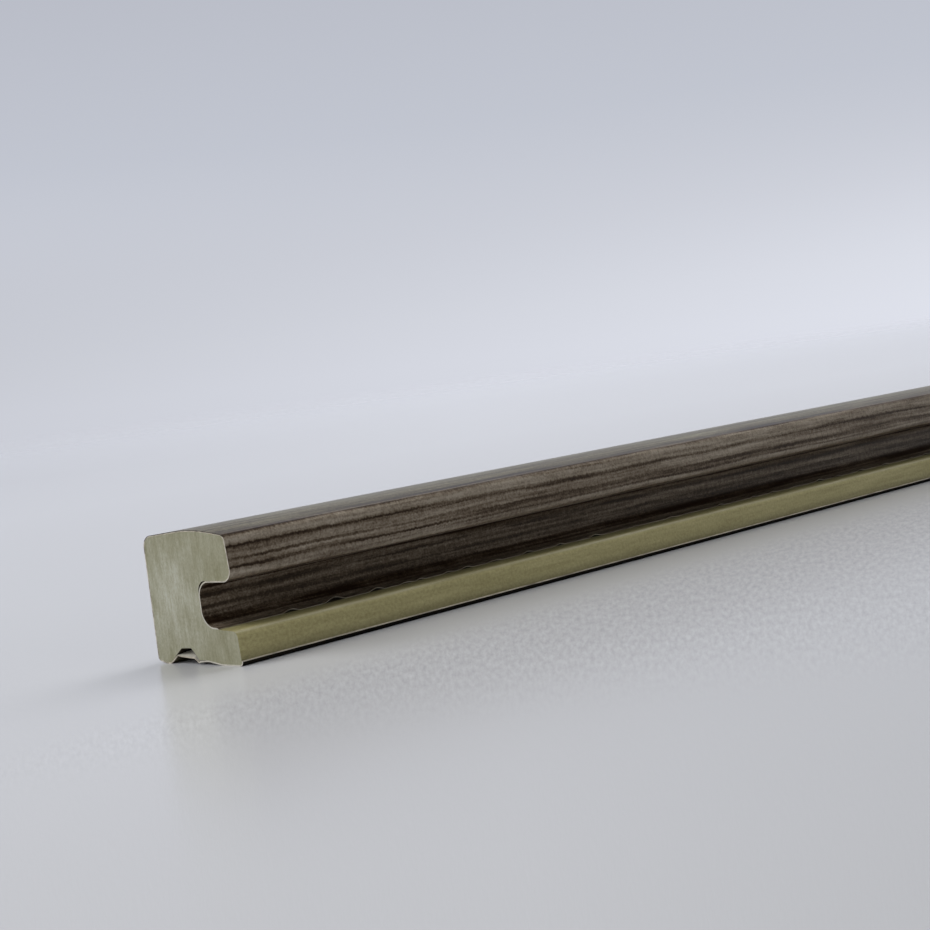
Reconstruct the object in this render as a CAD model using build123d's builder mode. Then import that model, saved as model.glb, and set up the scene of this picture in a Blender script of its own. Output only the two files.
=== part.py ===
"""Edge moulding for bamboo-fibre wall panels: one straight length of sawn trim, in millimetres.

A foamed core is extruded as a 24 mm square bar with a channel for the panel's edge along its front.
A thin printed film is wrapped round it and leaves only the tip of the lower lip bare.
The bar lies along X, its channel opens towards -Y, and its back lies on Z = 0.
"""
import os
from build123d import *

# Driving sizes of the bar
LENGTH = 2900.0  # one stock length
WIDTH = 23.73  # outer side to the lower edge of the head
HEIGHT = 24.0  # back to the top of the crown
FILM = 0.25  # thickness of the wrapped film

# Sizes of the core's section
CHANNEL_BACK = 14.2  # from the outer side
ROOF_Z = 14.95
NOTCH_Z = 2.95
FOOT_RISE = 0.57  # how far the back is hollow behind the wide foot
FILM_LIFT = 0.70  # part of the notch's flanks that the film follows before it bridges the notch

# Where the film stops on the lower lip
FILM_TOP_EDGE = 18.6  # from the outer side, on top of the lip
FILM_LOW_EDGE_Z = 0.85  # on the front of the lip, just above its lower corner

# Corners of the section before rounding, as (distance from the outer side, height)
HEAD_LOW = (23.59, ROOF_Z)
HEAD_HIGH = (22.90, 22.71)
CROWN = (13.98, HEIGHT - 0.003)
SIDE_HIGH = (FILM, 22.91)
SIDE_LOW = (FILM, 0.8)
FOOT_OUTER = (2.30, FILM)
FOOT_INNER = (3.70, FILM)
NOTCH_LEFT = (7.15, NOTCH_Z - 0.10)
NOTCH_RIGHT = (9.95, NOTCH_Z)
HOLLOW_START = (11.90, FILM + FOOT_RISE)
HOLLOW_END = (14.60, FILM + FOOT_RISE)
WIDE_FOOT = (18.40, FILM)
LIP_LOW = (WIDTH - 0.10, FILM)
LIP_HIGH = (23.36, 6.06)
CHANNEL_LOW = (CHANNEL_BACK, 6.64)
CHANNEL_HIGH = (CHANNEL_BACK, ROOF_Z)

SECTION_PLANE = Plane.YZ.offset(-LENGTH / 2)


def between(start, end, part):
    """Give the point that lies a part of the way from one corner to another."""
    return (start[0] + (end[0] - start[0]) * part, start[1] + (end[1] - start[1]) * part)


def section_outline(channel_top_radius, notch_corners):
    """Draw the closed section, walking from the channel over the head to the lower lip."""
    corners = [
        (CHANNEL_HIGH, channel_top_radius),
        (HEAD_LOW, 1.95),
        (HEAD_HIGH, 1.1),
        (CROWN, 42.75),
        (SIDE_HIGH, 1.95),
        (SIDE_LOW, 0.6),
        (FOOT_OUTER, 1.5),
        (FOOT_INNER, 1.0),
        *notch_corners,
        (HOLLOW_START, 0.5),
        (HOLLOW_END, 6.0),
        (WIDE_FOOT, 10.0),
        (LIP_LOW, 0.5),
        (LIP_HIGH, 1.3),
        (CHANNEL_LOW, 3.3),
    ]
    points = [(WIDTH / 2 - across, height) for (across, height), _ in corners]
    return FilletPolyline(*points, radius=[radius for _, radius in corners], close=True)


def core_outline():
    """Draw the core's outline, with the full notch and a small round in the channel."""
    return section_outline(1.9, [(NOTCH_LEFT, 0.5), (NOTCH_RIGHT, 0.5)])


def film_inner_outline():
    """Draw the film's inner face, which bridges the notch and the channel's upper corner."""
    left = between(FOOT_INNER, NOTCH_LEFT, FILM_LIFT)
    right = between(HOLLOW_START, NOTCH_RIGHT, FILM_LIFT)
    return section_outline(2.8, [(left, 1.5), (right, 0.8)])


# Core: solid foamed bar with the channel, the crowned top and the relief notch in its back
with BuildPart() as moulding_core:
    with BuildSketch(SECTION_PLANE):
        with BuildLine():
            core_outline()
        make_face()
    extrude(amount=LENGTH)

# Film: one skin of even thickness, cut away from the top, front and tip of the lower lip
bare_width = WIDTH - FILM_TOP_EDGE + FILM
bare_height = CHANNEL_LOW[1] + 1.0 - FILM_LOW_EDGE_Z
bare_centre = (WIDTH / 2 - FILM_TOP_EDGE - bare_width / 2, FILM_LOW_EDGE_Z + bare_height / 2)

with BuildPart() as decor_film:
    with BuildSketch(SECTION_PLANE):
        with BuildLine():
            film_inner_outline()
        make_face()
        offset(amount=FILM)
        with BuildLine():
            film_inner_outline()
        make_face(mode=Mode.SUBTRACT)
        with Locations(bare_centre):
            Rectangle(bare_width, bare_height, mode=Mode.SUBTRACT)
    extrude(amount=LENGTH)

moulding_core.part.label = "moulding_core"
decor_film.part.label = "decor_film"

os.makedirs("parts", exist_ok=True)
export_step(moulding_core.part, "parts/moulding_core.step")
export_step(decor_film.part, "parts/decor_film.step")
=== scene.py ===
"""A length of film-wrapped edge moulding for bamboo wall panels, lying on its back on a pale floor.

The section is a walk round the bar in millimetres: each corner is (distance from the outer side,
height, radius of its round). The core and the film are that walk carried along X. The film also
has a cut edge on the lower lip that waves and lifts, and it hangs loose in the notch at the near end.
"""
import math

import bmesh
import bpy
import numpy as np
from mathutils import Matrix, Vector
from mathutils.geometry import delaunay_2d_cdt


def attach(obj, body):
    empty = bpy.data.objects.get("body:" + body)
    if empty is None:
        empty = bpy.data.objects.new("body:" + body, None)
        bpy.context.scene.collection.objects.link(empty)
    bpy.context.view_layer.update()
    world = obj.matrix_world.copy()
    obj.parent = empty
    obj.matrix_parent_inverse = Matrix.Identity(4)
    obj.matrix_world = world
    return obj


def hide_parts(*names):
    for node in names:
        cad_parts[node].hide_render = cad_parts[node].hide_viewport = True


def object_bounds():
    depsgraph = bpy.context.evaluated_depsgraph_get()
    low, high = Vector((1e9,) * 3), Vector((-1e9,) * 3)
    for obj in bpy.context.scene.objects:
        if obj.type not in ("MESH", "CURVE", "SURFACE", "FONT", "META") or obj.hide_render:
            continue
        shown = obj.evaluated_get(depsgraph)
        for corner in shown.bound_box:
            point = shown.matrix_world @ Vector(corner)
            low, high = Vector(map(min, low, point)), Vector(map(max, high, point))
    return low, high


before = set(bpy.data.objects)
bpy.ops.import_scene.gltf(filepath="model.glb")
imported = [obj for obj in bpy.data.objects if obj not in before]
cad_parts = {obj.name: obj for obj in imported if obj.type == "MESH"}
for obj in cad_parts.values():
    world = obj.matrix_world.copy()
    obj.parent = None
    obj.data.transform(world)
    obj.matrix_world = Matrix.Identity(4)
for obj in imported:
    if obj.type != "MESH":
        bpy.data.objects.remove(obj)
cad_low, cad_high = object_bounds()

MM = 0.001
NEAR_X, FAR_X = cad_low.x, cad_high.x
HALF_WIDTH = cad_high.y
LENGTH = FAR_X - NEAR_X

# Section of the bar, in millimetres
FILM = 0.25
ROOF_Z = 14.95
CHANNEL_LOW = (14.2, 6.64, 3.3)
CORE_CHANNEL_HIGH = (14.2, ROOF_Z, 1.9)
FILM_CHANNEL_HIGH = (14.2, ROOF_Z, 2.8)
HEAD_AND_SIDE = [
    (23.59, ROOF_Z, 1.95),
    (22.90, 22.71, 1.1),
    (13.98, 23.997, 42.75),
    (FILM, 22.91, 1.95),
    (FILM, 0.8, 0.6),
    (2.30, FILM, 1.5),
    (3.70, FILM, 1.0),
]
CORE_NOTCH = [(7.15, 2.85, 0.5), (9.95, 2.95, 0.5)]
FILM_NOTCH = [(6.115, 2.07, 1.5), (10.535, 2.311, 0.8)]  # it leaves the notch's flanks and bridges it
HOLLOW_AND_FRONT = [
    (11.90, 0.82, 0.5),
    (14.60, 0.82, 6.0),
    (18.40, FILM, 10.0),
    (23.63, FILM, 0.5),
]
LIP_HIGH = (23.36, 6.06, 1.3)
FILM_TOP_EDGE = (18.6, 6.36, 0.0)
FILM_LOW_EDGE_Z = 0.85  # middle of the film's lower cut, on the lip's front
LOW_CUT_SLANT = 0.26  # how much higher the cut stands on its inner face than on its outer one

# Lifted places of the film's cut edge, as (distance from the near end, half width, lift)
EDGE_LIFTS = [
    (16.7, 2.2, 0.46),
    (27.6, 2.8, 0.72),
    (38.4, 2.2, 0.50),
    (46.2, 2.0, 0.20),
    (50.1, 1.5, 0.24),
    (58.0, 1.8, 0.22),
    (63.5, 1.8, 0.36),
    (71.8, 2.5, 0.22),
    (82.0, 2.1, 0.40),
    (92.3, 1.5, 0.34),
    (104.0, 2.4, 0.44),
]
# Further on the lifts are drawn at random: how many, and the ranges of their gaps, half widths
# and heights
MORE_LIFTS = 400
LIFT_GAPS, LIFT_WIDTHS, LIFT_HEIGHTS = (5.0, 15.0), (1.2, 2.6), (0.06, 0.40)
LIFTS_END = 6.0  # from the far end
LIFT_REACH = 2.9  # how far a lift reaches up the film's run from its cut edge
CRUSHED_EDGE = 0.45  # share of the film's thickness left at its cut edge on the lip
CRUSHED_REACH = 0.7  # run over which the film comes back to its full thickness
LAYERS = (0.0, 0.62, 1.0)  # inner face, start of the print, outer face, as shares of the thickness
PRINT, PALE, RIM, CUT_PRINT_AND_SHADE = range(4)
CROWN_FACES_UP = 0.6  # the cut shows the dark print where the section faces up more than this
PALE_CHANNEL_TOP, PALE_BOTTOM = 14.0, 0.9  # the cut is pale in the channel and near the floor
PALE_ACROSS = 18.4  # how far from the outer side it is pale in the channel
CHANNEL_RUN = 30.0  # the whole channel lies within this run from the film's edge on the lip
TUCKED = 2.0  # width of the film turned under the lip's front, painted near black as the shade there
NOTCH_LOOSE = (5.6, 12.2)  # from the outer side
NOTCH_DROOP, NOTCH_REACH = 1.05, 4.0  # drop of the film at the near end, and how far in it fades
CORNER_FLARE = 0.12  # how far the film's lower edge stands off at the near corner
FLARE_RUN, FLARE_ALONG = 0.9, 1.1  # run that it takes, and how far along the bar it fades
SAW_WAVE, SAW_DEPTH = 0.0045, 0.03  # height of one wave of the saw's marks, and their mean depth
SAWN_END_FACES = 0.7  # faces that look along the bar more than this belong to the sawn ends
SEED = 41

# Stations along the bar from its near end, and steps between them
CORE_NEAR_STATIONS = (0.0, 2.0, 8.0, 30.0)
FILM_NEAR_STATIONS = (12.0, 16.0, 24.0, 40.0, 70.0)
NEAR_STEP, NEAR_STEPS_END = 0.4, 10.0
SPARSE_FROM, SPARSE_STATIONS = 100.0, 30
CLOSE_UP, FAR_STEP = 240.0, 1.1  # the lifted edge has the near step up to here, then this one
LIFTED_RUN = 3.4  # part of the film's run that has the close stations

# Pale bloom on the sawn end: its middle as (distance from the outer side, height), how far a noise
# pulls it out, and the distances, less that pull, at which it starts and is full
BLOOM_AT = (6.3, 12.0)
BLOOM_PULL = 22.0
BLOOM_REACH, BLOOM_CORE = 1.5, -11.5
BLOOM_TINT = (1.42, 1.45, 1.68, 1.0)

# The lip's bare skin, as (height, value): painted shade up its front, and share of a painted highlight
# along its arris
LIP_SHADE_TOP = 8.0
LIP_PAINTED_SHADES = [(0.8, 0.56), (1.7, 0.76), (2.8, 0.98), (4.4, 1.0), (6.15, 1.0), (6.38, 0.80)]
LIP_PAINTED_HIGHLIGHT = [(5.45, 0.0), (5.72, 0.16), (5.88, 0.60), (6.02, 0.46), (6.14, 0.06), (6.2, 0.0)]

# The print's main streaks, with painted shade, as (height, tone): on the head's channel side at the
# near end, the same side further along, and the back of the channel. The dark tones at the head's lower
# edge, and the channel's back darker all over with its darkest band high up, are painted shade under
# the head
HEAD_NEAR_STREAKS_AND_SHADE = [
    (14.955, 0.0),
    (14.97, -0.30),
    (15.1, -0.22),
    (15.4, 0.05),
    (15.9, 0.20),
    (16.7, 0.24),
    (17.2, 0.10),
    (17.4, -0.30),
    (17.65, -0.24),
    (17.9, 0.08),
    (18.5, 0.18),
    (18.8, -0.20),
    (19.05, -0.24),
    (19.3, 0.10),
    (20.3, 0.16),
    (20.8, -0.12),
    (21.1, -0.38),
    (21.4, -0.04),
    (22.0, 0.22),
    (22.8, 0.24),
    (23.15, 0.0),
    (23.3, -0.30),
    (23.5, -0.22),
    (23.7, 0.0),
]
HEAD_NEXT_STREAKS_AND_SHADE = [
    (14.955, 0.0),
    (14.97, -0.30),
    (15.1, -0.22),
    (15.4, 0.0),
    (15.9, 0.10),
    (16.6, 0.20),
    (16.9, -0.12),
    (17.3, 0.06),
    (17.7, -0.22),
    (18.2, -0.18),
    (18.6, 0.14),
    (19.6, 0.20),
    (20.0, 0.12),
    (20.5, -0.20),
    (20.8, -0.02),
    (21.3, 0.28),
    (22.3, 0.26),
    (22.9, 0.12),
    (23.2, -0.14),
    (23.5, -0.20),
    (23.7, 0.0),
]
CHANNEL_STREAKS_AND_SHADE = [
    (6.8, 0.0),
    (7.1, -0.34),
    (7.6, -0.22),
    (8.0, -0.34),
    (8.4, -0.32),
    (8.8, -0.17),
    (9.6, -0.05),
    (10.0, -0.26),
    (10.3, -0.26),
    (10.7, -0.04),
    (11.5, -0.02),
    (11.9, -0.30),
    (12.3, -0.26),
    (12.7, -0.06),
    (13.3, -0.04),
    (13.55, -0.45),
    (13.8, -0.45),
    (14.2, -0.30),
    (14.6, 0.0),
]
# Darker tones just past the head's upper edge, as (distance from it, tone)
CROWN_STREAKS = [
    (0.0, 0.0),
    (0.35, -0.30),
    (0.8, -0.26),
    (1.4, -0.16),
    (2.2, -0.10),
    (3.0, -0.02),
    (6.0, 0.0),
]
STREAK_WANDER = 1.0  # how far a streak strays along the bar
STREAK_JAG = 0.55  # how far the fine fibres shift a streak's edges
PATCH_GAIN, PATCH_START = 2.6, -0.25  # the streaks' strength is a noise times the one plus the other
GRAIN_DARKEST, GRAIN_LIGHTEST = 0.85, 1.75
CROWN_TONE = -0.05
CROWN_COMES = 0.6  # distance over which the crown's tone and tint come in
CROWN_TINT = (0.90, 1.0, 0.86, 1.0)  # the print leans to grey-olive on the crown
TONE_MIDDLE = 0.6  # grey that stands for a tone of 0 in the ramps of the streaks
HEAD_SIDE_FROM = 22.0  # the head's channel side lies further than this from the outer side
HEAD_TOP = 23.4  # height of the head's upper edge
CHANNEL_BACK_TO = 16.0  # the channel's back lies nearer than this to the outer side
NEAR_HOLDS, NEAR_ENDS = 44.0, 66.0  # along the bar, where the near streaks give way to the next


# The camera of the photograph, in metres from the near foot

CAMERA_FROM_NEAR_FOOT = Vector((-0.1930, -0.2642, 0.04735))
NEAR_FOOT_ACROSS = 2.90 * MM
LENS, SENSOR = 69.68, 36.0
CAMERA_RIGHT = Vector((0.6811, -0.7216, -0.1242))
CAMERA_UP = Vector((0.1270, -0.0506, 0.9906))


def add_camera():
    """Stand the camera low before the near end, rolled as the photograph is."""
    camera = bpy.data.objects.new("camera", bpy.data.cameras.new("camera"))
    bpy.context.collection.objects.link(camera)
    right = CAMERA_RIGHT.normalized()
    back = right.cross(CAMERA_UP).normalized()
    up = back.cross(right)
    turn = Matrix((right, up, back)).transposed().to_4x4()
    foot = Vector((NEAR_X, HALF_WIDTH - NEAR_FOOT_ACROSS, 0.0))
    camera.matrix_world = Matrix.Translation(foot + CAMERA_FROM_NEAR_FOOT) @ turn
    camera.data.lens = LENS
    camera.data.sensor_width = SENSOR
    camera.data.clip_start = 0.01
    bpy.context.scene.camera = camera


# Shapes of the section

def rounded_walk(corners, closed, steps):
    """Walk along straight sides with a round at each corner.

    A round starts radius * tan(half the turn) before its corner. Its centre lies one radius off
    that start along the side's normal, and the normal turns evenly from one side's to the next's.
    Gives the points and their outward normals, in metres in the plane of Y and Z.
    """
    table = np.array(corners)
    place = np.column_stack((HALF_WIDTH / MM - table[:, 0], table[:, 1]))
    if closed:
        before, middle, after = np.roll(place, 1, 0), place, np.roll(place, -1, 0)
        radius = table[:, 2]
    else:
        before, middle, after = place[:-2], place[1:-1], place[2:]
        radius = table[1:-1, 2]
    come = middle - before
    leave = after - middle
    come /= np.linalg.norm(come, axis=1)[:, None]
    leave /= np.linalg.norm(leave, axis=1)[:, None]
    turn = np.arctan2(come[:, 0] * leave[:, 1] - come[:, 1] * leave[:, 0], (come * leave).sum(1))
    normal = np.column_stack((-come[:, 1], come[:, 0]))
    side = -np.sign(turn)
    start = middle - come * (radius * np.tan(np.abs(turn) / 2))[:, None]
    centre = start - normal * (side * radius)[:, None]
    part = np.linspace(0.0, 1.0, steps)[None, :]
    angle = np.arctan2(normal[:, 1], normal[:, 0])[:, None] + turn[:, None] * part
    normals = np.stack((np.cos(angle), np.sin(angle)), axis=2)
    points = centre[:, None, :] + normals * (side * radius)[:, None, None]
    points, normals = points.reshape(-1, 2), normals.reshape(-1, 2)
    if not closed:
        points = np.vstack((place[:1], points))
        normals = np.vstack((normals[:1], normals))
    return points * MM, normals


def core_walk():
    """Give the core's closed outline, in metres."""
    corners = [CORE_CHANNEL_HIGH, *HEAD_AND_SIDE, *CORE_NOTCH, *HOLLOW_AND_FRONT, LIP_HIGH, CHANNEL_LOW]
    return rounded_walk(corners, closed=True, steps=10)


def film_walk():
    """Give the film's inner line from its cut edge on the lip, its normals and the run along it."""
    corners = [
        FILM_TOP_EDGE, CHANNEL_LOW, FILM_CHANNEL_HIGH, *HEAD_AND_SIDE, *FILM_NOTCH,
        *HOLLOW_AND_FRONT, LIP_HIGH,
    ]
    points, normals = rounded_walk(corners, closed=False, steps=14)
    rows = 5
    part = np.linspace(0.0, 1.0, rows, endpoint=False)[:, None]
    rise = np.array((-normals[-1, 1], normals[-1, 0])) / normals[-1, 0]
    last = points[-1] + rise * (FILM_LOW_EDGE_Z * MM - points[-1, 1])
    points = np.vstack((points[0] + (points[1] - points[0]) * part, points[1:], last))
    normals = np.vstack((np.tile(normals[0], (rows, 1)), normals[1:], normals[-1]))
    run = np.concatenate(([0.0], np.cumsum(np.linalg.norm(np.diff(points, axis=0), axis=1))))
    return points, normals, run


# Meshes

def mesh_piece(name, vertices, faces, materials):
    """Put arrays of vertices and faces into a new object at the origin."""
    mesh = bpy.data.meshes.new(name)
    mesh.from_pydata(vertices, [], faces)
    mesh.update()
    piece = bpy.data.objects.new(name, mesh)
    bpy.context.collection.objects.link(piece)
    for material in materials:
        mesh.materials.append(material)
    return piece


def inside(points, outline):
    """Tell which points lie inside an outline, by counting the sides that a ray crosses."""
    here, there = outline, np.roll(outline, -1, 0)
    y, z = points[:, 0][:, None], points[:, 1][:, None]
    spans = (here[:, 1] > z) != (there[:, 1] > z)
    rise = np.where(there[:, 1] == here[:, 1], 1.0, there[:, 1] - here[:, 1])
    cut = here[:, 0] + (z - here[:, 1]) * (there[:, 0] - here[:, 0]) / rise
    return (spans & (y < cut)).sum(1) % 2 == 1


def saw_relief(y, z, seed):
    """Depth of the saw's marks: a sum of near-upright waves of falling depth, in metres."""
    draw = np.random.default_rng(seed)
    count = 26
    pitch = draw.uniform(0.35, 3.2, count) * MM
    lean = draw.uniform(-0.09, 0.09, count)
    phase = draw.uniform(0.0, math.tau, count)
    slow = draw.uniform(5.0, 16.0, count) * MM
    wave = np.sin(math.tau * (y[:, None] + lean * z[:, None]) / pitch + phase)
    fade = 0.6 + 0.4 * np.sin(math.tau * z[:, None] / slow + phase * 2.0)
    return SAW_WAVE * MM * (wave * fade).sum(1) + SAW_DEPTH * MM


def sawn_end(outline, at_x, inward, seed):
    """Fill an outline with small triangles and press the saw's marks into them."""
    pitch = 0.34 * MM
    keep_off = 0.45 * pitch
    low, high = outline.min(0), outline.max(0)
    y, z = np.meshgrid(np.arange(low[0], high[0], pitch), np.arange(low[1], high[1], pitch))
    z = z + np.where(np.arange(y.shape[1]) % 2 == 0, 0.0, pitch / 2)
    fill = np.column_stack((y.ravel(), z.ravel()))
    fill = fill[inside(fill, outline)]
    gap = np.linalg.norm(fill[:, None, :] - outline[None, :, :], axis=2).min(1)
    fill = fill[gap > keep_off]
    coords = [Vector(p) for p in np.vstack((outline, fill)) / MM]
    found = delaunay_2d_cdt(coords, [], [list(range(len(outline)))], 1, 1e-6)
    flat = np.array([tuple(p) for p in found[0]]) * MM
    depth = saw_relief(flat[:, 0], flat[:, 1], seed)
    vertices = np.column_stack((at_x + inward * depth, flat))
    return vertices, [tuple(face) for face in found[2]]


def grid_faces(rows, columns, first, wrap):
    """Give the quads of a grid of vertices; with wrap, the last column joins the first."""
    row = np.arange(rows - 1)[:, None]
    column = np.arange(columns if wrap else columns - 1)[None, :]
    following = (column + 1) % columns
    a, b = row * columns + column, row * columns + following
    return first + np.stack((a, b, b + columns, a + columns), axis=2).reshape(-1, 4)


def make_core(skin, sawn):
    """Carry the core's outline along X and close it with the two sawn ends."""
    outline, _ = core_walk()
    sparse = np.linspace(NEAR_X + SPARSE_FROM * MM, FAR_X, SPARSE_STATIONS)
    stations = np.concatenate((NEAR_X + np.array(CORE_NEAR_STATIONS) * MM, sparse))
    count = len(outline)
    ends = (
        saw_relief(outline[:, 0], outline[:, 1], SEED),
        -saw_relief(outline[:, 0], outline[:, 1], SEED + 1),
    )
    x = np.tile(stations[:, None], (1, count))
    x[0] += ends[0]
    x[-1] += ends[1]
    y = np.tile(outline[:, 0], (len(stations), 1))
    z = np.tile(outline[:, 1], (len(stations), 1))
    vertices = np.stack((x, y, z), axis=2).reshape(-1, 3)
    sides = grid_faces(len(stations), count, 0, wrap=True)
    near, near_faces = sawn_end(outline, NEAR_X, 1.0, SEED)
    far, far_faces = sawn_end(outline, FAR_X, -1.0, SEED + 1)
    near_first, far_first = len(vertices), len(vertices) + len(near)
    faces = [tuple(face) for face in sides]
    faces += [tuple(near_first + corner for corner in face) for face in near_faces]
    faces += [tuple(far_first + corner for corner in face) for face in far_faces]
    core = mesh_piece("foamed_core", np.vstack((vertices, near, far)), faces, (skin, sawn))
    finish_surface(core, weld=0.001 * MM, sharp=40.0)
    kinds = np.zeros(len(core.data.polygons), dtype=np.int32)
    normals = np.empty(len(kinds) * 3)
    core.data.polygons.foreach_get("normal", normals)
    end_on = np.abs(normals.reshape(-1, 3)[:, 0]) > SAWN_END_FACES
    kinds[end_on] = 1
    core.data.polygons.foreach_set("material_index", kinds)
    return core


def finish_surface(piece, weld, sharp):
    """Merge double points, point the faces outwards and shade smooth between sharp edges."""
    work = bmesh.new()
    work.from_mesh(piece.data)
    bmesh.ops.remove_doubles(work, verts=work.verts, dist=weld)
    bmesh.ops.recalc_face_normals(work, faces=work.faces)
    work.to_mesh(piece.data)
    work.free()
    piece.data.shade_smooth()
    piece.data.set_sharp_from_angle(angle=math.radians(sharp))


def edge_lift(along):
    """Height of the lifted cut edge: round humps (1 - t * t) ** 2, t from the hump's middle."""
    draw = np.random.default_rng(SEED)
    last = EDGE_LIFTS[-1][0]
    middles = last + np.cumsum(draw.uniform(*LIFT_GAPS, MORE_LIFTS))
    half_widths = draw.uniform(*LIFT_WIDTHS, MORE_LIFTS)
    more = np.column_stack((middles, half_widths, draw.uniform(*LIFT_HEIGHTS, MORE_LIFTS)))
    humps = np.vstack((EDGE_LIFTS, more[middles < LENGTH / MM - LIFTS_END]))
    t = (along[:, None] / MM - humps[:, 0]) / humps[:, 1]
    shape = np.clip(1.0 - t * t, 0.0, None) ** 2
    ripple = 0.015 * np.sin(along / MM * 1.9) * np.sin(along / MM * 0.37 + 1.0) + 0.015
    return ((shape * humps[:, 2]).sum(1) + ripple) * MM


def edge_wander(along):
    """Sideways wander of the cut edge, a sum of three slow waves."""
    x = along / MM
    return (0.10 * np.sin(x * 0.23) + 0.05 * np.sin(x * 0.71 + 2.0) + 0.02 * np.sin(x * 2.3)) * MM


def zip_faces(fine, coarse, fine_x, coarse_x):
    """Join a row of many points to a row of few along the same line, with triangles."""
    middles = (fine_x[:-1] + fine_x[1:]) / 2
    halves = (coarse_x[:-1] + coarse_x[1:]) / 2
    cell = np.clip(np.searchsorted(coarse_x, middles) - 1, 0, len(halves) - 1)
    late = middles > halves[cell]
    fans = np.column_stack((fine[:-1], fine[1:], coarse[cell + late]))
    hinge = np.searchsorted(middles, halves, side="right")
    bases = np.column_stack((fine[hinge], coarse[1:], coarse[:-1]))
    return fans, bases


def eased(share):
    """Hold a share between 0 and 1 and ease it at both ends."""
    share = np.clip(share, 0.0, 1.0)
    return share * share * (3.0 - 2.0 * share)


def film_stations():
    """Give the film's stations from the near end: many for its lifted edge, few for the rest."""
    near = np.concatenate((np.arange(0.0, NEAR_STEPS_END, NEAR_STEP), FILM_NEAR_STATIONS)) * MM
    coarse = np.concatenate((near, np.linspace(SPARSE_FROM * MM, LENGTH, SPARSE_STATIONS - 1)))
    close = np.arange(0.0, CLOSE_UP, NEAR_STEP) * MM
    wide = np.arange(CLOSE_UP * MM, LENGTH, FAR_STEP * MM)
    return np.unique(np.round(np.concatenate((close, wide, coarse)), 6)), coarse


def cut_end_kinds(line, normals, run):
    """Give the finishes of the film's inner part and of its printed part where the ends are cut."""
    across, height = (HALF_WIDTH - line[:, 0]) / MM, line[:, 1] / MM
    in_channel = (run < CHANNEL_RUN * MM) & (across < PALE_ACROSS) & (height < PALE_CHANNEL_TOP)
    at_floor = (across > NOTCH_LOOSE[0]) & (height < PALE_BOTTOM)
    inner = np.where(in_channel | at_floor, PALE, RIM)
    crown = (normals[:, 1] > CROWN_FACES_UP) & (height > ROOF_Z)
    head = (across > CHANNEL_LOW[0]) & (height > PALE_CHANNEL_TOP)
    return inner, np.where(crown, CUT_PRINT_AND_SHADE, np.where(head, PALE, inner))


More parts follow.
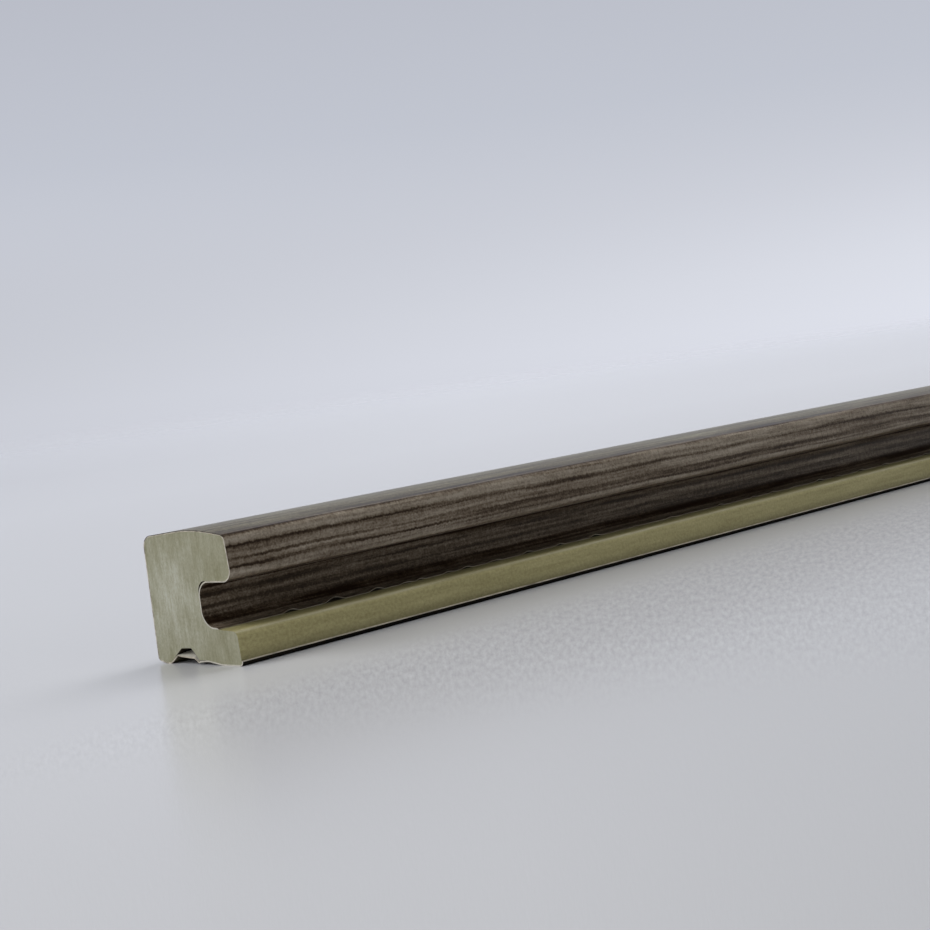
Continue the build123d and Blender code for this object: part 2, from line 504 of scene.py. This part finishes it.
def make_film(finishes):
    """Wrap the film: many stations along its lifted edge, few along the rest, zipped together.

    Each face of the film is a grid of points: the walk round the section, moved out along its
    normals by the film's thickness, by the lift of the cut edge and by the sag over the notch.
    A third grid lies where the print begins in the film's thickness, and shows at the cut ends.
    """
    line, normals, run = film_walk()
    edge_rows = int(np.searchsorted(run, LIFTED_RUN * MM))
    fine_x, coarse_x = film_stations()
    lift, wander = edge_lift(fine_x), edge_wander(fine_x)
    fall = eased(1.0 - run[:edge_rows] / (LIFT_REACH * MM))
    crushed = CRUSHED_EDGE + (1.0 - CRUSHED_EDGE) * eased(run / (CRUSHED_REACH * MM))
    inner_kinds, printed_kinds = cut_end_kinds(line[:-1], normals[:-1], run[:-1])
    slants = np.zeros(len(line))
    slants[-1] = LOW_CUT_SLANT
    edge = np.arange(edge_rows)
    rest = np.arange(edge_rows, len(line))
    loose = notch_sag(line[rest], coarse_x)
    loose += corner_flare(run[-1] - run[rest], normals[rest], coarse_x)

    def sheet(rows, x, depth):
        """Place rows of one layer of the film at stations along X."""
        flat = line[rows] + normals[rows] * (depth * FILM * MM * crushed[rows])[:, None]
        flat[-1, 1] += (0.5 - depth) * slants[rows[-1]] * MM
        grid = np.empty((len(x), len(rows), 3))
        grid[:, :, 0] = NEAR_X + x[:, None]
        grid[:, :, 1:] = flat[None]
        return grid

    blocks = []
    for depth in LAYERS:
        grid = sheet(edge, fine_x, depth)
        grid[:, :, 1:] += normals[edge][None] * (lift[:, None] * fall)[:, :, None]
        grid[:, :, 1] += wander[:, None] * fall
        blocks.append(grid)
    for depth in LAYERS:
        grid = sheet(rest, coarse_x, depth)
        grid[:, :, 1:] += loose
        # No layer sinks into the floor
        grid[:, :, 2] = np.maximum(grid[:, :, 2], (1.0 - depth) * 0.5 * FILM * MM)
        blocks.append(grid)
    starts = np.concatenate(([0], np.cumsum([block.size // 3 for block in blocks])))
    numbers = [first + np.arange(block.size // 3).reshape(block.shape[:2])
               for first, block in zip(starts, blocks)]
    edge_layers, rest_layers = numbers[:len(LAYERS)], numbers[len(LAYERS):]
    quads, kinds = [], []

    def strip(first, second, kind):
        """Join two rows of vertex numbers with quads."""
        quads.append(np.column_stack((first[:-1], first[1:], second[1:], second[:-1])))
        kinds.append(np.broadcast_to(kind, len(first) - 1))

    # Painted shade: the outer face of the film turned under the lip takes the near-black finish
    shaded_under_lip = run[-1] - run < TUCKED * MM
    for block in (edge_layers[0], rest_layers[0]):
        for row in range(block.shape[1] - 1):
            strip(block[:, row], block[:, row + 1], PALE)
    for block, first in ((edge_layers[2], 0), (rest_layers[2], edge_rows)):
        for row in range(block.shape[1] - 1):
            strip(block[:, row], block[:, row + 1], CUT_PRINT_AND_SHADE if shaded_under_lip[first + row] else PRINT)
    for inner, outer in ((0, 1), (1, 2)):
        strip(edge_layers[inner][:, 0], edge_layers[outer][:, 0], RIM)
        strip(rest_layers[inner][:, -1], rest_layers[outer][:, -1], RIM)
    for end in (0, -1):
        rows = [np.concatenate((e[end], r[end])) for e, r in zip(edge_layers, rest_layers)]
        strip(rows[0], rows[1], inner_kinds)
        strip(rows[1], rows[2], printed_kinds)
    triangles = []
    for layer, kind in ((0, PALE), (2, PRINT)):
        fine, coarse = edge_layers[layer][:, -1], rest_layers[layer][:, 0]
        for part in zip_faces(fine, coarse, fine_x, coarse_x):
            triangles.append(part)
            kinds.append(np.full(len(part), kind))
    faces = [tuple(face) for part in (np.vstack(quads), np.vstack(triangles)) for face in part]
    vertices = np.vstack([block.reshape(-1, 3) for block in blocks])
    film = mesh_piece("wood_grain_film", vertices, faces, finishes)
    film.data.polygons.foreach_set("material_index", np.concatenate(kinds).astype(np.int32))
    spans = [run[edge]] * len(LAYERS) + [run[rest]] * len(LAYERS)
    across = np.concatenate([np.tile(span, block.shape[0]) for span, block in zip(spans, blocks)])
    spread = np.column_stack((vertices[:, 0] - NEAR_X, across))
    corners = np.empty(len(film.data.loops), dtype=np.int32)
    film.data.loops.foreach_get("vertex_index", corners)
    film.data.uv_layers.new(name="unrolled").data.foreach_set("uv", spread[corners].ravel())
    finish_surface(film, weld=0.0001 * MM, sharp=45.0)
    return film


def notch_sag(line, along):
    """Let the film's bridge over the notch droop at the near end, most right of its middle.

    The droop is a skewed flat-topped hump over the bridge, and fades with the square of the
    distance from the end.
    """
    across = (HALF_WIDTH - line[:, 0]) / MM
    first, last = NOTCH_LOOSE
    bridge = (across > first) & (across < last) & (line[:, 1] < 3.0 * MM)
    t = np.clip((across - first) / (last - first), 0.0, 1.0)
    over = np.where(bridge, np.sin(math.pi * t ** 1.15) ** 0.6, 0.0)
    fade = np.clip(1.0 - along / (NOTCH_REACH * MM), 0.0, 1.0) ** 2
    move = np.zeros((len(along), len(line), 2))
    move[:, :, 1] = -NOTCH_DROOP * MM * fade[:, None] * over
    return move


def corner_flare(left_over, normals, along):
    """Flare the film's lower cut edge a little away from the lip at the near corner."""
    rows = np.clip(1.0 - left_over / (FLARE_RUN * MM), 0.0, 1.0)
    fade = np.exp(-along / (FLARE_ALONG * MM))
    return (CORNER_FLARE * MM * fade)[:, None, None] * (rows[:, None] * normals)[None]


# Finishes

def blank_material(name):
    """Start a material and give it, its node tree and its main shader."""
    material = bpy.data.materials.new(name)
    material.use_nodes = True
    return material, material.node_tree, material.node_tree.nodes["Principled BSDF"]


def dress(tree, shader, colour, roughness, shine=0.5):
    """Give a shader its colour, its roughness and the strength of its reflections."""
    tree.links.new(colour, shader.inputs["Base Color"])
    shader.inputs["Roughness"].default_value = roughness
    shader.inputs["Specular IOR Level"].default_value = shine


def stretched(tree, source, scale):
    """Stretch a set of coordinates by a scale along each axis."""
    mapping = tree.nodes.new("ShaderNodeMapping")
    mapping.inputs["Scale"].default_value = scale
    tree.links.new(source, mapping.inputs["Vector"])
    return mapping.outputs["Vector"]


def cloud(tree, place, scale, detail=2.0, roughness=0.5):
    """Give the value of a soft noise at coordinates stretched by a scale along each axis."""
    noise = tree.nodes.new("ShaderNodeTexNoise")
    noise.inputs["Scale"].default_value = 1.0
    noise.inputs["Detail"].default_value = detail
    noise.inputs["Roughness"].default_value = roughness
    tree.links.new(stretched(tree, place, scale), noise.inputs["Vector"])
    return noise.outputs["Fac"]


def coordinates(tree, place):
    """Give the three coordinates of a place."""
    parts = tree.nodes.new("ShaderNodeSeparateXYZ")
    tree.links.new(place, parts.inputs["Vector"])
    return parts.outputs["X"], parts.outputs["Y"], parts.outputs["Z"]


def flat_place(tree, x, y):
    """Put two values together into a place."""
    joined = tree.nodes.new("ShaderNodeCombineXYZ")
    tree.links.new(x, joined.inputs["X"])
    tree.links.new(y, joined.inputs["Y"])
    return joined.outputs["Vector"]


def value_node(tree, operation, *values):
    """Add a maths node on values that are numbers or other nodes' outputs."""
    node = tree.nodes.new("ShaderNodeMath")
    node.operation = operation
    for slot, value in zip(node.inputs, values):
        if isinstance(value, float):
            slot.default_value = value
        else:
            tree.links.new(value, slot)
    return node.outputs["Value"]


def vector_value(tree, operation, vector, other):
    """Give one value from a vector and plain numbers, such as its distance from a place."""
    node = tree.nodes.new("ShaderNodeVectorMath")
    node.operation = operation
    tree.links.new(vector, node.inputs[0])
    node.inputs[1].default_value = other
    return node.outputs["Value"]


def spread_over(tree, value, low, high, smooth=False):
    """Stretch a value so that low becomes 0 and high becomes 1, and hold it beyond them."""
    node = tree.nodes.new("ShaderNodeMapRange")
    node.interpolation_type = "SMOOTHSTEP" if smooth else "LINEAR"
    node.inputs["From Min"].default_value = low
    node.inputs["From Max"].default_value = high
    tree.links.new(value, node.inputs["Value"])
    return node.outputs["Result"]


def tones(tree, value, stops):
    """Turn a value into colours between stops of (position, colour)."""
    ramp = tree.nodes.new("ShaderNodeValToRGB")
    elements = ramp.color_ramp.elements
    while len(elements) < len(stops):
        elements.new(0.5)
    for element, (position, colour) in zip(elements, stops):
        element.position = position
        element.color = (*colour, 1.0)
    tree.links.new(value, ramp.inputs["Fac"])
    return ramp.outputs["Color"]


def sum_up(tree, first, second, share):
    """Add a share of the second value to the first."""
    return value_node(tree, "MULTIPLY_ADD", second, share, first)


def blend(tree, kind, share, first, second):
    """Blend two colours, each a node's output or plain values, by a share of the second."""
    mix = tree.nodes.new("ShaderNodeMix")
    mix.data_type = "RGBA"
    mix.blend_type = kind
    for slot, value in zip((mix.inputs[0], mix.inputs[6], mix.inputs[7]), (share, first, second)):
        if isinstance(value, (float, tuple)):
            slot.default_value = value
        else:
            tree.links.new(value, slot)
    return mix.outputs[2]


def mix_shaders(tree, share, first, second, output):
    """Mix two shaders by a share of the second and send the mix to the tree's output."""
    mix = tree.nodes.new("ShaderNodeMixShader")
    tree.links.new(share, mix.inputs["Fac"])
    tree.links.new(first, mix.inputs[1])
    tree.links.new(second, mix.inputs[2])
    tree.links.new(mix.outputs["Shader"], tree.nodes[output].inputs["Surface"])


def bump(tree, shader, height, strength, distance):
    """Give a shader fine relief from a height."""
    node = tree.nodes.new("ShaderNodeBump")
    node.inputs["Strength"].default_value = strength
    node.inputs["Distance"].default_value = distance
    tree.links.new(height, node.inputs["Height"])
    tree.links.new(node.outputs["Normal"], shader.inputs["Normal"])


def run_on_head(heights):
    """Give the run of the film, in metres, at heights in millimetres on the head's channel side."""
    line, _, run = film_walk()
    side = ((HALF_WIDTH - line[:, 0]) / MM > HEAD_SIDE_FROM) & (line[:, 1] > ROOF_Z * MM)
    return np.interp(heights, line[side, 1] / MM, run[side])


def run_on_crown(distances):
    """Give the run of the film, in metres, at distances in millimetres past the head's upper edge."""
    return run_on_head([HEAD_TOP])[0] + np.array(distances) * MM


def run_in_channel(heights):
    """Give the run of the film, in metres, at heights in millimetres up the channel's back."""
    line, _, run = film_walk()
    back = (run < CHANNEL_RUN * MM) & (line[:, 1] < ROOF_Z * MM)
    back &= (HALF_WIDTH - line[:, 0]) / MM < CHANNEL_BACK_TO
    return np.interp(heights, line[back, 1] / MM, run[back])


def streak_layout(tree, run, streaks, run_at):
    """Turn a list of (height, tone) into a value across the film, 0 outside the list."""
    heights = [height for height, _ in streaks]
    ends = run_at([heights[0], heights[-1]])
    place = spread_over(tree, run, ends[0], ends[1])
    reach = heights[-1] - heights[0]
    stops = [((z - heights[0]) / reach, (TONE_MIDDLE + tone,) * 3) for z, tone in streaks]
    return value_node(tree, "SUBTRACT", tones(tree, place, stops), TONE_MIDDLE)


def grain_value(tree, uv):
    """Value of the printed grain and painted shade, higher where it is lighter, and how far it lies on
    the crown.

    It is a sum: the streaks and painted shade laid out across the head and the channel, two noises
    drawn out along the bar, and two small mottles. The run is bent first, slowly so that the streaks
    wander and finely so that their edges are jagged. A slow noise makes each streak stronger and
    weaker.
    """
    along, run, _ = coordinates(tree, uv)
    for scale, reach in (((34.0, 140.0, 1.0), STREAK_WANDER), ((1500.0, 300.0, 1.0), STREAK_JAG)):
        bend = cloud(tree, uv, scale, 2.0, 0.5)
        pull = value_node(tree, "MULTIPLY_ADD", bend, reach * MM, -reach * MM / 2)
        run = value_node(tree, "ADD", run, pull)
    bent = flat_place(tree, along, run)

    near = streak_layout(tree, run, HEAD_NEAR_STREAKS_AND_SHADE, run_on_head)
    further = streak_layout(tree, run, HEAD_NEXT_STREAKS_AND_SHADE, run_on_head)
    # The channel's tones are all dark: painted shade in the recess under the head, with the print's
    # streaks
    channel = streak_layout(tree, run, CHANNEL_STREAKS_AND_SHADE, run_in_channel)
    turn = spread_over(tree, along, NEAR_HOLDS * MM, NEAR_ENDS * MM, smooth=True)
    change = value_node(tree, "SUBTRACT", further, near)
    head = value_node(tree, "MULTIPLY_ADD", change, turn, near)
    patches = cloud(tree, uv, (70.0, 380.0, 1.0), 2.0, 0.6)
    strength = value_node(tree, "MULTIPLY_ADD", patches, PATCH_GAIN, PATCH_START)
    crown = streak_layout(tree, run, CROWN_STREAKS, run_on_crown)
    laid_out = value_node(tree, "ADD", head, channel)
    laid_out = value_node(tree, "ADD", laid_out, crown)
    value = value_node(tree, "MULTIPLY", laid_out, strength)
    crown_start, crown_full = run_on_crown([0.0, CROWN_COMES])
    crown = spread_over(tree, run, crown_start, crown_full)
    value = sum_up(tree, value, crown, CROWN_TONE)
    for source, scale, detail, roughness, share in (
        (bent, (16.0, 620.0, 1.0), 2.0, 0.5, 0.8),
        (bent, (45.0, 1500.0, 1.0), 2.0, 0.6, 0.8),
        (uv, (900.0, 700.0, 1.0), 2.0, 0.6, 0.5),
        (uv, (2300.0, 2600.0, 1.0), 1.0, 0.5, 0.5),
    ):
        mottle = cloud(tree, source, scale, detail, roughness)
        value = sum_up(tree, value, mottle, share)
    return spread_over(tree, value, GRAIN_DARKEST, GRAIN_LIGHTEST), crown


def grain_print():
    """Printed dark wood grain on the film, with painted shade in the channel, satin with a fine relief.
    """
    material, tree, shader = blank_material("printed_wood_grain")
    unrolled = tree.nodes.new("ShaderNodeUVMap")
    unrolled.uv_map = "unrolled"
    value, crown = grain_value(tree, unrolled.outputs["UV"])
    colour = tones(tree, value, [
        (0.0, (0.018, 0.009, 0.005)),
        (0.25, (0.054, 0.036, 0.022)),
        (0.50, (0.135, 0.104, 0.074)),
        (0.75, (0.240, 0.200, 0.152)),
        (1.0, (0.350, 0.305, 0.242)),
    ])
    colour = blend(tree, "MULTIPLY", crown, colour, CROWN_TINT)
    dress(tree, shader, colour, roughness=0.31, shine=0.10)
    shader.inputs["Specular Tint"].default_value = (0.96, 0.88, 0.60, 1.0)
    bump(tree, shader, value, 0.25, 0.04 * MM)
    return material


def underlip_shade_and_cut_print():
    """The film turned under the lip, painted near black as the shade there, and its dark print cut at
    the crown: both dull.
    """
    material, tree, shader = blank_material("underlip_shade_and_cut_print")
    place = tree.nodes.new("ShaderNodeTexCoord").outputs["Object"]
    smear = cloud(tree, place, (60.0, 900.0, 900.0), 3.0)
    colour = tones(tree, smear, [(0.3, (0.004, 0.003, 0.002)), (0.8, (0.014, 0.011, 0.008))])
    dress(tree, shader, colour, roughness=0.9, shine=0.05)
    return material


def film_back():
    """Pale unprinted inner side and cut edge of the film."""
    material, tree, shader = blank_material("pale_film_back")
    place = tree.nodes.new("ShaderNodeTexCoord").outputs["Object"]
    soft = cloud(tree, place, (900.0, 900.0, 900.0), 2.0)
    colour = tones(tree, soft, [(0.3, (0.40, 0.38, 0.32)), (0.7, (0.50, 0.48, 0.42))])
    dress(tree, shader, colour, roughness=0.5)
    return material


def film_rim():
    """Cut edge of the film on the lip and at the sawn ends: pale backing smeared with print."""
    material, tree, shader = blank_material("crushed_film_rim")
    place = tree.nodes.new("ShaderNodeTexCoord").outputs["Object"]
    soft = cloud(tree, place, (240.0, 900.0, 900.0), 3.0)
    colour = tones(tree, soft, [(0.3, (0.17, 0.15, 0.115)), (0.6, (0.48, 0.44, 0.355))])
    dress(tree, shader, colour, roughness=0.6)
    return material


def foam_skin():
    """Khaki skin of the foamed core, with a painted highlight along the lip's arris, painted near black
    under the film.

    The height gives the painted shade up the lip's front and the painted highlight on its arris. The
    distance across tells where the film starts.
    """
    material, tree, shader = blank_material("khaki_foam_skin")
    place = tree.nodes.new("ShaderNodeTexCoord").outputs["Object"]
    drawn = cloud(tree, place, (60.0, 900.0, 900.0), 3.0, 0.6)
    speck = cloud(tree, place, (1500.0, 1900.0, 1900.0), 3.0, 0.6)
    value = sum_up(tree, drawn, speck, 1.3)
    spread = spread_over(tree, value, 0.75, 1.55)
    colour = tones(tree, spread, [(0.0, (0.292, 0.258, 0.108)), (1.0, (0.490, 0.442, 0.222))])
    _, y, z = coordinates(tree, place)
    # Painted shade: the skin is darker down the lip's front towards the floor and on its flat top under
    # the head
    climb = spread_over(tree, z, 0.0, LIP_SHADE_TOP * MM)
    shade = tones(tree, climb, [(at / LIP_SHADE_TOP, (v, v, v)) for at, v in LIP_PAINTED_SHADES])
    colour = blend(tree, "MULTIPLY", 1.0, colour, shade)
    # Painted highlight: a pale band along the lip's arris, where it turns up to the light, broken up by
    # a noise
    arris_highlight = tones(tree, climb, [(at / LIP_SHADE_TOP, (v, v, v)) for at, v in LIP_PAINTED_HIGHLIGHT])
    highlight_patches = value_node(tree, "MULTIPLY_ADD", drawn, 2.4, -0.2)
    arris_highlight = value_node(tree, "MULTIPLY", arris_highlight, highlight_patches)
    colour = blend(tree, "MIX", arris_highlight, colour, (0.60, 0.57, 0.41, 1.0))
    # Painted shade: near black under the film's line, standing for the shade in the gaps under its
    # lifted cut edge
    film_at = HALF_WIDTH - FILM_TOP_EDGE[0] * MM
    gap_shade = spread_over(tree, y, film_at + 0.05 * MM, film_at + 0.25 * MM)
    colour = blend(tree, "MIX", gap_shade, colour, (0.030, 0.020, 0.010, 1.0))
    dress(tree, shader, colour, roughness=0.5, shine=0.3)
    bump(tree, shader, value, 0.3, 0.04 * MM)
    return material


def sawn_foam():
    """Sawn end of the foamed core: upright streaks, fine cells and a slow change of tint."""
    material, tree, shader = blank_material("sawn_foam")
    place = tree.nodes.new("ShaderNodeTexCoord").outputs["Object"]
    streak = cloud(tree, place, (300.0, 1500.0, 160.0), 3.0, 0.6)
    cells = cloud(tree, place, (2300.0, 2900.0, 1700.0), 3.0, 0.7)
    patch = cloud(tree, place, (60.0, 330.0, 160.0), 3.0, 0.6)
    value = sum_up(tree, streak, cells, 1.2)
    value = sum_up(tree, value, patch, 1.1)
    colour = tones(tree, spread_over(tree, value, 1.30, 2.05), [
        (0.0, (0.200, 0.192, 0.120)),
        (0.5, (0.252, 0.245, 0.168)),
        (1.0, (0.305, 0.300, 0.222)),
    ])
    flat = stretched(tree, place, (0.0, 1.0, 1.0))
    middle = (0.0, HALF_WIDTH - BLOOM_AT[0] * MM, BLOOM_AT[1] * MM)
    distance = vector_value(tree, "DISTANCE", flat, middle)
    blot = cloud(tree, place, (150.0, 520.0, 190.0), 3.0, 0.65)
    reach = value_node(tree, "MULTIPLY_ADD", blot, -BLOOM_PULL * MM, distance)
    bloom = spread_over(tree, reach, BLOOM_REACH * MM, BLOOM_CORE * MM)
    colour = blend(tree, "MULTIPLY", bloom, colour, BLOOM_TINT)
    dress(tree, shader, colour, roughness=0.8)
    bump(tree, shader, value, 0.35, 0.05 * MM)
    return material


# The studio

FLOOR_REACH = 9.0
FADE_START, FADE_END = 0.8, 3.6  # distance from the bar's middle, its length counted a third
FADE_SQUASH = 0.35
FLOOR_TONES_REACH = 1.6
# The floor's colour by the place across, Y: painted shade in a band in front of the bar, lighter far
# off
FLOOR_TONES_AND_SHADE = [
    (-1.6, (0.700, 0.713, 0.765)),
    (-0.7, (0.575, 0.582, 0.610)),
    (-0.2, (0.500, 0.504, 0.520)),
    (-0.06, (0.556, 0.561, 0.583)),
    (0.01, (0.562, 0.567, 0.590)),
    (0.49, (0.660, 0.670, 0.711)),
    (1.6, (0.730, 0.745, 0.802)),
]
GRIT_CENTRE = (-193.0, -264.0)  # the floor's grit is drawn out away from here, from the near foot
GRIT_SIZE, GRIT_STRETCH = 0.85, 6.0
GRIT_RING = (225.0, 285.0, 400.0, 560.0)  # from its centre: where it starts, is full, fades, is gone
GRIT_CLEAR = (34.0, 58.0)  # it comes in over these distances from the outer side
# How much the grit's noise lightens and darkens the floor: painted glints and shade of the fine relief,
# with its own specks
GRIT_CONTRAST = 0.55
SHADE_MIDDLE = math.radians(43.3)  # the floor's shade changes to both sides of this way
# Soft shades of the floor, as (sine of the angle from that way where it is full, distances in
# metres from the grit's centre where it starts and is full, amount)
FLOOR_SHADES = [
    (-0.25, (0.75, 0.30), 0.08),
    (0.25, (0.45, 1.4), 0.16),
]


def floor_grit(tree, place):
    """Give the floor's fine grit, how strong it is at each place, and the floor's shade.

    Its specks lie on circles about one point and are longer outwards: the noise is read at
    (angle times the middle radius, radius divided by the stretch).
    """
    centre = (NEAR_X + GRIT_CENTRE[0] * MM, HALF_WIDTH - NEAR_FOOT_ACROSS + GRIT_CENTRE[1] * MM)
    x, y, _ = coordinates(tree, place)
    east = value_node(tree, "SUBTRACT", x, centre[0])
    north = value_node(tree, "SUBTRACT", y, centre[1])
    angle = value_node(tree, "ARCTAN2", north, east)
    squares = value_node(tree, "MULTIPLY", east, east)
    squares = value_node(tree, "MULTIPLY_ADD", north, north, squares)
    radius = value_node(tree, "SQRT", squares)
    starts, full, fades, gone = [reach * MM for reach in GRIT_RING]
    scale = ((full + fades) / 2 / (GRIT_SIZE * MM), 1.0 / (GRIT_SIZE * GRIT_STRETCH * MM), 1.0)
    fine = cloud(tree, flat_place(tree, angle, radius), scale, 2.0, 0.6)

    comes = spread_over(tree, radius, starts, full, smooth=True)
    goes = spread_over(tree, radius, gone, fades, smooth=True)
    shut, clear = [HALF_WIDTH - across * MM for across in GRIT_CLEAR]
    strong = value_node(tree, "MULTIPLY", comes, goes)
    strong = value_node(tree, "MULTIPLY", strong, spread_over(tree, y, shut, clear, smooth=True))

    aside = value_node(tree, "SINE", value_node(tree, "SUBTRACT", angle, SHADE_MIDDLE))
    shade = 1.0
    for turn, (start, end), amount in FLOOR_SHADES:
        part = spread_over(tree, aside, 0.0, turn)
        part = value_node(tree, "MULTIPLY", part, spread_over(tree, radius, start, end))
        shade = value_node(tree, "MULTIPLY_ADD", part, -amount, shade)
    return fine, strong, shade


def floor_finish():
    """Pale half-gloss floor that fades into the backdrop far from the bar."""
    material, tree, shader = blank_material("pale_floor")
    place = tree.nodes.new("ShaderNodeTexCoord").outputs["Object"]
    fine, speck_and_glint_strength, shade = floor_grit(tree, place)
    _, y, _ = coordinates(tree, place)
    # Painted shade: the floor's colour dips in a band in front of the bar
    depth = spread_over(tree, y, -FLOOR_TONES_REACH, FLOOR_TONES_REACH)
    light = tones(tree, depth, [
        (0.5 + at / (2 * FLOOR_TONES_REACH), colour) for at, colour in FLOOR_TONES_AND_SHADE
    ])
    # Painted glints and shade of the fine relief, with the grit's own specks: the noise lightens and
    # darkens the floor's colour, most in a ring about the grit's centre
    swing = value_node(tree, "SUBTRACT", fine, 0.5)
    swing = value_node(tree, "MULTIPLY", swing, speck_and_glint_strength)
    specks_and_glints = value_node(tree, "MULTIPLY_ADD", swing, GRIT_CONTRAST, 1.0)
    light = blend(tree, "MULTIPLY", 1.0, light, specks_and_glints)
    light = blend(tree, "MULTIPLY", 1.0, light, shade)
    dress(tree, shader, light, roughness=0.24)
    bump(tree, shader, fine, 0.2, 0.08 * MM)
    squashed = stretched(tree, place, (FADE_SQUASH, 1.0, 1.0))
    distance = vector_value(tree, "DISTANCE", squashed, (0.0, 0.0, 0.0))
    fade = spread_over(tree, distance, FADE_START, FADE_END, smooth=True)
    clear = tree.nodes.new("ShaderNodeBsdfTransparent")
    mix_shaders(tree, fade, shader.outputs["BSDF"], clear.outputs["BSDF"], "Material Output")
    return material


def add_floor():
    """Lay a round floor under the bar: a ring of rim points about one middle point."""
    count = 96
    angle = np.linspace(0.0, math.tau, count, endpoint=False)
    rim = np.column_stack((np.cos(angle), np.sin(angle), np.zeros(count))) * FLOOR_REACH
    floor = mesh_piece("studio_floor", rim, [tuple(range(count))], (floor_finish(),))


# The sky and the backdrop by how far the way looks up, as (share of the span, colour)
SKY_SPAN = (-0.1, 0.8)
SKY_TONES = [
    (0.0, (0.05, 0.05, 0.052)),
    (1.0, (0.06, 0.06, 0.062)),
]
BACKDROP_SPAN = (-0.05, 0.25)
BACKDROP_TONES = [
    (0.0, (0.68, 0.70, 0.77)),
    (0.17, (0.68, 0.70, 0.77)),
    (0.25, (0.658, 0.678, 0.744)),
    (0.40, (0.60, 0.62, 0.685)),
    (0.60, (0.535, 0.56, 0.63)),
    (0.90, (0.49, 0.51, 0.575)),
]
BRIGHT_SIDE = (0.686, -0.727, 0.0)  # low down the backdrop is lighter on this side
SIDE_SWING = 0.26  # how far to either side it changes
SIDE_TONES = [
    (0.0, (0.88, 0.88, 0.88)),
    (1.0, (1.08, 1.08, 1.08)),
]
LOW_DOWN = (0.12, 0.02)  # how far up the sides' difference starts and is full


def add_backdrop():
    """Light the scene softly from all round, and show a pale backdrop to the camera."""
    world = bpy.data.worlds.new("studio")
    bpy.context.scene.world = world
    world.use_nodes = True
    tree = world.node_tree
    direction = tree.nodes.new("ShaderNodeTexCoord").outputs["Generated"]
    _, _, up = coordinates(tree, direction)
    soft = tree.nodes["Background"]
    sky = tones(tree, spread_over(tree, up, *SKY_SPAN), SKY_TONES)
    tree.links.new(sky, soft.inputs["Color"])

    colour = tones(tree, spread_over(tree, up, *BACKDROP_SPAN), BACKDROP_TONES)
    aside = vector_value(tree, "DOT_PRODUCT", direction, BRIGHT_SIDE)
    dim = tones(tree, spread_over(tree, aside, -SIDE_SWING, SIDE_SWING), SIDE_TONES)
    low_down = spread_over(tree, up, *LOW_DOWN, smooth=True)
    shown = tree.nodes.new("ShaderNodeBackground")
    tree.links.new(blend(tree, "MULTIPLY", low_down, colour, dim), shown.inputs["Color"])

    path = tree.nodes.new("ShaderNodeLightPath").outputs
    seen = value_node(tree, "MAXIMUM", path["Is Camera Ray"], path["Is Glossy Ray"])
    seen = value_node(tree, "MAXIMUM", seen, path["Is Transmission Ray"])
    mix_shaders(tree, seen, soft.outputs["Background"], shown.outputs["Background"], "World Output")


# Wide far lamps as (name, degrees round from the far end of the bar, degrees up, strength)
LAMPS = [
    ("lamp_behind_left", 135.0, 38.0, 1.68),
    ("lamp_right", 0.0, 38.0, 0.90),
    ("lamp_right_high", 0.0, 64.0, 0.96),
    ("lamp_left_low", 180.0, 12.0, 1.06),
    ("lamp_left_high", 180.0, 64.0, 0.45),
    ("lamp_front_low", 270.0, 12.0, 0.29),
]
LAMP_SOFTNESS = 34.0


def add_lamp(name, round_from_far, up, strength):
    """Hang a wide far lamp that lights the bar, without a glint of its own."""
    lamp = bpy.data.lights.new(name, "SUN")
    lamp.energy = strength
    lamp.angle = math.radians(LAMP_SOFTNESS)
    holder = bpy.data.objects.new(name, lamp)
    bpy.context.collection.objects.link(holder)
    holder.visible_glossy = False
    turn, climb = math.radians(round_from_far), math.radians(up)
    level = math.cos(climb)
    away = Vector((math.cos(turn) * level, math.sin(turn) * level, math.sin(climb)))
    holder.rotation_mode = "QUATERNION"
    holder.rotation_quaternion = away.to_track_quat("Z", "Y")


bpy.context.scene.view_settings.view_transform = "Standard"
add_camera()
add_backdrop()
for lamp_values in LAMPS:
    add_lamp(*lamp_values)
add_floor()

core = make_core(foam_skin(), sawn_foam())
film = make_film((grain_print(), film_back(), film_rim(), underlip_shade_and_cut_print()))
for piece, node, slot in (
    (core, "moulding_core", "foamed_core"),
    (film, "decor_film", "wood_grain_film"),
):
    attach(piece, "root")
    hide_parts(node)
